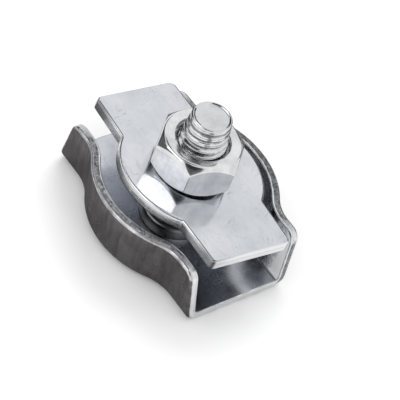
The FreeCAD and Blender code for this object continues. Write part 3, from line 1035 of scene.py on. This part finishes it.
@dataclass
class ClampPlate:
    """Flat stamping with a round middle and an end each way along the rope, loose and leaning on the bolt."""

    length: float = 13.75
    end: float = 6.05
    shoulder: float = 6.25
    disc: float = 9.4
    thick: float = 1.5
    corner: float = 0.8
    notch: float = 0.5
    hole: float = 3.4
    rolled: float = 0.34
    burr: float = 0.12
    hole_round: float = 0.14
    turn: float = -2.8
    lean: float = 5.5
    seat: Triple = (0.03, 0.17, 8.2)
    rolled_steps: int = 8
    bright_steps: int = 3
    torn_steps: int = 6
    burr_steps: int = 3
    lip_steps: int = 4
    steel: Zinc = Zinc(
        "zinc_on_flat_plate", Plating.PLATE, (0.60, 0.62, 0.66), (0.70, 0.715, 0.745), cloud=6.0,
        gloss=(0.12, 0.22), streaks=0.05, streak_stretch=(0.3, 2.6, 2.6), scratches=0.75, hair=1.7, swell=0.010,
    )
    cut: ShearedZinc = ShearedZinc(
        "zinc_on_plate_cut", (0.20, 0.205, 0.22), (0.74, 0.745, 0.76), (0.74, 0.745, 0.76), depth=0.018,
        gloss=(0.50, 0.25), smooth=(6.5, 9.5), land=(0.75, 0.85), painted_dark_corners=True,
    )

    def outline(self) -> Run:
        """Outline of the stamping.

        Returns:
            Points of a full turn, and the direction out of the plate at each.
        """
        meet = math.sqrt(self.disc**2 - self.shoulder**2)
        side = Vector((self.length - meet, self.end - self.shoulder)).normalized()
        out = Vector((-side.y, side.x))
        level = out.dot(Vector((self.length, self.end)))
        round_x = self.length - self.corner
        round_y = (level - self.corner - out.x * round_x) / out.y
        lift, reach = level + self.notch, self.disc + self.notch
        hollow = out * lift - side * (side.dot(out * lift) - math.sqrt(reach**2 - lift**2))
        tilt = math.atan2(out.y, out.x)
        foot = math.atan2(hollow.y, hollow.x)
        near = np.array((round_x, round_y)) + self.corner * np.array(out)
        far = hollow - self.notch * out
        runs = (
            straight((self.length, 0), (self.length, round_y), (1, 0), np.linspace(0, 1, 11)[:-1]),
            arc((round_x, round_y), self.corner, np.linspace(0, tilt, 15)),
            straight(near, far, out, np.linspace(0, 1, 20)[1:-1]),
            arc(hollow, -self.notch, np.linspace(tilt, foot, 9)),
            arc((0, 0), self.disc, np.linspace(foot, math.pi / 2, 42)),
        )
        turned = []
        for quarter in (np.vstack(part) for part in zip(*runs)):
            half = np.vstack([quarter, quarter[-2::-1] * (-1, 1)])
            turned.append(np.vstack([half, half[-2::-1] * (1, -1)]))
        return turned[0], turned[1]

    def build(self) -> bpy.types.Object:
        """Makes the plate as one closed shell in its place on the bolt.

        Returns:
            The finished piece.
        """
        spots, ways = self.outline()
        top = [(0.7, self.thick), (0.5, self.thick), (self.rolled + 0.06, self.thick)]
        rolled = [(inset, self.thick - depth) for inset, depth in quarter_round(self.rolled, self.rolled_steps)]
        torn = [(0.0, z) for z in np.linspace(self.thick - self.rolled, self.burr, self.torn_steps + 1)[1:-1]]
        burr = quarter_round(self.burr, self.burr_steps)[::-1]
        under = [(self.burr + 0.05, 0.0), (0.4, 0.0), (0.7, 0.0)]
        edge = top + rolled + torn + burr + under
        lip = quarter_round(self.hole_round, self.lip_steps)
        bore = [(1.0, 0.0), (0.3, 0.0), *lip]
        bore += [(inset, self.thick - z) for inset, z in reversed(bore)]
        angles = np.arctan2(spots[:, 1], spots[:, 0])
        outside = [np.column_stack([spots - inset * ways, 0 * angles + z]) for inset, z in edge]
        inside = [around(self.hole + inset, angles, z) for inset, z in bore]
        below = between(outside[-1], inside[0], (0.25, 0.5, 0.75))
        above = between(inside[-1], outside[0], (0.2, 0.4, 0.6, 0.8))

        blank = Blank()
        turn = Matrix.Rotation(math.radians(self.turn), 3, "Z") @ Matrix.Rotation(math.radians(-self.lean), 3, "X")
        grid = np.array(outside + below + inside + above) @ np.array(turn).T + np.array(self.seat)
        numbers = blank.lay_round(grid)
        numbers = np.vstack([numbers, numbers[:1]])
        strip = unroll(spots, [z for _, z in edge])
        first, last = len(top) + self.bright_steps, len(edge) - len(under) - self.burr_steps
        blank.skin(numbers[: first + 1])
        blank.skin(numbers[first: last + 1], Face.CUT, strip[first: last + 1])
        blank.skin(numbers[last:])
        return blank.make("loose_clamp_plate")

    def dress(self, piece: bpy.types.Object) -> None:
        """Plates the faces and the sheared edge."""
        finish(piece, self.steel, self.cut)


# Nut


@dataclass
class Nut:
    """Hexagon nut, chamfered and countersunk on both faces, its thread in step with the bolt's."""

    seat: float = field(default_factory=lambda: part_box("hex_nut")[0][2] / MM)
    height: float = 5.0
    flat: float = 5.0
    face: float = 4.8
    chamfer: float = 48.0
    mouth: float = 3.55
    turn: float = 10.3
    soft: float = 0.14
    soft_edge: float = 0.12
    play: float = 0.05
    columns: tuple[float, ...] = (0, 0.12, 0.3, 0.6, 1.1, 1.8, 3, 5, 8, 12, 17, 23, 30)
    thread: Thread = Thread()
    steel: Zinc = Zinc(
        "zinc_on_hex_nut", Plating.NUT, (0.64, 0.645, 0.655), (0.80, 0.805, 0.81), cloud=2.2,
        gloss=(0.08, 0.18), streaks=0.10, streak_stretch=(2.4, 2.4, 0.3), swell=0.008, swell_size=3.0, scratches=0.2,
    )

    def angles(self) -> np.ndarray:
        """Angles of the columns, closest together at the corners.

        Returns:
            Angles of a full turn, its first and last on one corner.
        """
        half = np.array(self.columns)
        side = np.concatenate([half, 60 - half[-2::-1]])[:-1]
        whole = np.concatenate([side + 60 * k for k in range(6)] + [[360.0]])
        return np.radians(whole + self.turn)

    def radius(self, angles: np.ndarray) -> np.ndarray:
        """Outline of the hexagon with its rounded corners.

        Args:
            angles: Angles of the columns.

        Returns:
            Its radius at each angle.
        """
        sixth = math.pi / 3
        off_corner = np.abs((angles - math.radians(self.turn) + sixth / 2) % sixth - sixth / 2)
        plain = self.flat / np.cos(sixth / 2 - off_corner)
        centre = (self.flat - self.soft) / math.cos(sixth / 2)
        across = centre * np.sin(off_corner)
        rounded = centre * np.cos(off_corner) + np.sqrt(np.maximum(self.soft**2 - across**2, 0))
        start = sixth / 2 - math.atan((self.flat - self.soft) / self.flat * math.tan(sixth / 2))
        return np.where(off_corner < start, rounded, plain)

    def trim(self, radius: np.ndarray, height: np.ndarray) -> np.ndarray:
        """Opens the thread into the countersink of each face.

        Args:
            radius: Radius of the full thread.
            height: Height above the underside of the clip.

        Returns:
            Radius of the bore.
        """
        depth = np.minimum(height - self.seat, self.seat + self.height - height)
        return np.maximum(radius + self.play, self.mouth - depth)

    def build(self) -> bpy.types.Object:
        """Makes the nut as one closed shell.

        Returns:
            The finished piece.
        """
        blank = Blank()
        angles = self.angles()
        outer = self.radius(angles)
        low, high = self.seat, self.seat + self.height
        slope = math.tan(math.radians(self.chamfer))
        drop = (outer - self.face) * slope
        edge = np.minimum(self.soft_edge, drop)
        rows = [(0 * outer + radius, 0 * outer) for radius in (self.mouth, 3.7, 4.3, self.face - 0.05)]
        rows += [(self.face + share * (outer - self.face), share * drop) for share in (0.12, 0.5)]
        rows += [
            (outer - 0.9 * edge, drop - 0.9 * edge * slope),
            (outer - 0.35 * edge, drop - 0.05 * edge),
            (outer - 0.06 * edge, drop + 0.45 * edge),
            (outer, drop + edge),
        ]
        top = [around(radius, angles, high - down) for radius, down in rows]
        bottom = [around(radius, angles, low + down) for radius, down in rows]
        middle = between(top[-1], bottom[-1], (0.25, 0.5, 0.75))
        blank.skin(blank.lay(np.array(top + middle + bottom[::-1])))
        blank.skin(blank.lay(self.thread.tube(low, high, angles, self.trim)))
        return blank.make("hexagon_nut", 45)

    def dress(self, piece: bpy.types.Object) -> None:
        """Plates the nut."""
        finish(piece, self.steel)


# Studio


LAMPS_LOOK_AT = (0, 0, 8)


def facing(spot: Vector, way: Vector) -> Matrix:
    """Place of a lamp or screen whose back looks a given way."""
    return Matrix.Translation(spot) @ way.to_track_quat("Z", "Y").to_matrix().to_4x4()


def board(label: str, size: Pair, place: Matrix, paint: bpy.types.Material) -> bpy.types.Object:
    """Flat board of the stage, in metres.

    Args:
        label: Its name.
        size: Its width and height.
        place: Where it stands.
        paint: What it is painted with.

    Returns:
        The new object.
    """
    wide, tall = (side / 2 for side in size)
    mesh = bpy.data.meshes.new(label)
    mesh.from_pydata([(-wide, -tall, 0), (wide, -tall, 0), (wide, tall, 0), (-wide, tall, 0)], [], [(0, 1, 2, 3)])
    mesh.materials.append(paint)
    flat = bpy.data.objects.new(label, mesh)
    flat.matrix_world = place
    bpy.context.scene.collection.objects.link(flat)
    return flat


@dataclass(frozen=True)
class Lamp:
    """Soft square lamp that looks at the clip."""

    label: str
    towards: Triple
    distance: float
    size: Pair
    power: float
    mirrored: bool = True

    def hang(self) -> None:
        """Hangs the lamp."""
        light = bpy.data.lights.new(self.label, "AREA")
        light.shape, light.size, light.size_y = "RECTANGLE", *self.size
        light.energy = self.power
        lamp = bpy.data.objects.new(self.label, light)
        way = Vector(self.towards).normalized()
        lamp.matrix_world = facing(way * self.distance + Vector(LAMPS_LOOK_AT) * MM, way)
        lamp.visible_glossy = self.mirrored
        bpy.context.scene.collection.objects.link(lamp)


@dataclass(frozen=True)
class Screen:
    """Matt screen or card that only reflections see."""

    label: str
    spot: Triple
    size: Pair
    shade: Colour
    flat: bool = False

    def stand(self) -> None:
        """Stands the screen up facing the clip, or lays it flat."""
        spot = Vector(self.spot)
        place = Matrix.Translation(spot) if self.flat else facing(spot, spot)
        screen = board(self.label, self.size, place, matt(self.label, self.shade).material)
        screen.visible_camera = screen.visible_diffuse = screen.visible_shadow = False


def matt(label: str, shade: Colour) -> Bench:
    """Plain matt paint.

    Args:
        label: Name of the material.
        shade: Its colour.

    Returns:
        The finish.
    """
    paint = Bench(label, metallic=0.0)
    paint.coat("Base Color", (*shade, 1))
    paint.coat("Roughness", 0.9)
    paint.coat("Specular IOR Level", 0.1)
    return paint


@dataclass
class Studio:
    """Pale floor, white surroundings, soft lamps and the camera at the photograph's angle."""

    eye: Triple = (119.587, -154.518, 206.148)
    right: Triple = (0.5622557557, 0.7793884923, 0.2764453711)
    up: Triple = (-0.7125624285, 0.2869558805, 0.6402430071)
    back: Triple = (0.4196704071, -0.5569649008, 0.7167055523)
    lens: float = 205.899
    ambient: float = 0.88
    floor: Pair = (8.0, 8.0)
    floor_level: float = -2e-5
    floor_fade: Pair = (0.10, 0.45)
    lamps: tuple[Lamp, ...] = (
        Lamp("far_side_softbox", (-0.42, 0.5565, 0.7146), 0.55, (0.42, 0.36), 1.3, False),
        Lamp("left_softbox", (-0.27, -0.75, 0.60), 0.60, (0.46, 0.20), 0.45),
        Lamp("upper_left_softbox", (-0.19, -0.52, 0.833), 0.60, (0.26, 0.13), 0.06),
        Lamp("front_fill", (0.62, -0.74, 0.26), 0.60, (0.40, 0.20), 0.6, False),
    )
    screens: tuple[Screen, ...] = (
        Screen("overhead_screen", (-0.374, -0.055, 1.034), (0.58, 0.80), (0.04, 0.04, 0.045)),
        Screen("camera_side_screen", (0.450, -0.470, 0.890), (0.75, 0.50), (0.04, 0.04, 0.045)),
        Screen("near_corner_screen", (0.593, -0.593, 0.545), (0.75, 0.30), (0.13, 0.13, 0.135)),
        Screen("near_left_screen", (-0.645, -0.692, 0.326), (1.06, 0.36), (0.13, 0.13, 0.135)),
        Screen("left_screen", (-1.030, -0.022, 0.370), (1.10, 0.62), (0.05, 0.05, 0.055)),
        Screen("right_back_screen", (-0.170, 1.074, 0.172), (0.90, 0.74), (0.05, 0.05, 0.055)),
        # Dark cards on the floor that only reflections see: a painted reflection of shaded floor beside and behind the
        # channel.
        Screen("left_floor_shade_card", (-0.014, -0.0123, 0.00005), (0.10, 0.0106), (0.17, 0.16, 0.16), flat=True),
        Screen("right_floor_shade_card", (-0.0177, 0.054, 0.00005), (0.0646, 0.092), (0.14, 0.14, 0.15), flat=True),
    )

    def build(self) -> None:
        """Sets up the floor, the surroundings, the lamps and the camera."""
        self.set_camera()
        board("studio_floor", self.floor, Matrix.Translation((0, 0, self.floor_level)), self.pale_floor())
        for lamp in self.lamps:
            lamp.hang()
        for screen in self.screens:
            screen.stand()
        self.set_surroundings()

    def pale_floor(self) -> bpy.types.Material:
        """Pale paint that keeps the clip's shadow, and shows as plain white further out.

        Returns:
            The material.
        """
        paint = matt("pale_floor", (0.93, 0.93, 0.93))
        reach = paint.add("VectorMath", operation="LENGTH")
        paint.feed(reach.inputs[0], paint.add("TexCoord").outputs["Object"])
        far = paint.spread(reach.outputs["Value"], self.floor_fade)
        white = paint.add("Emission").outputs[0]
        paint.surface("Material Output", paint.times(far, paint.seen()), paint.shader.outputs[0], white)
        return paint.material

    def set_camera(self) -> None:
        """Sets up the camera."""
        camera = bpy.data.cameras.new("photograph_view")
        camera.lens, camera.sensor_width, camera.clip_start = self.lens, 36.0, 0.01
        holder = bpy.data.objects.new("photograph_view", camera)
        turn = Matrix((self.right, self.up, self.back)).transposed().to_4x4()
        holder.matrix_world = Matrix.Translation(Vector(self.eye) * MM) @ turn
        bpy.context.scene.collection.objects.link(holder)
        bpy.context.scene.camera = holder

    def set_surroundings(self) -> None:
        """Sets white surroundings that light the clip less than they show."""
        world = bpy.data.worlds.new("white_surroundings")
        bpy.context.scene.world = world
        world.use_nodes = True
        nodes = Nodes(world.node_tree)
        shown = nodes.tree.nodes["Background"]
        nodes.feed(shown.inputs["Color"], (1, 1, 1, 1))
        lit = nodes.add("Background", Color=(1, 1, 1, 1), Strength=self.ambient)
        nodes.surface("World Output", nodes.seen(), lit.outputs[0], shown.outputs[0])


def save_sizes() -> None:
    """Brings the placements of the scene up to date."""
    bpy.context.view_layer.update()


def main() -> None:
    """Sets up the studio and makes, dresses and seats every piece of the clip."""
    logging.basicConfig(level=logging.INFO, format="%(name)s: %(message)s")
    bpy.context.scene.view_settings.view_transform = "Standard"
    Studio().build()
    parts = (
        (Channel(), "channel", Body.GROUND),
        (Bolt(), "bolt", Body.GROUND),
        (ClampPlate(), "clamp_plate", Body.PLATE),
        (Nut(), "hex_nut", Body.NUT),
    )
    for part, node, body in parts:
        piece = part.build()
        part.dress(piece)
        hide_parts(node)
        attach(piece, body.value)
        LOG.info("%s: %d faces, rides on %s", piece.name, len(piece.data.polygons), body.value)
    save_sizes()


if __name__ == "__main__":
    main()
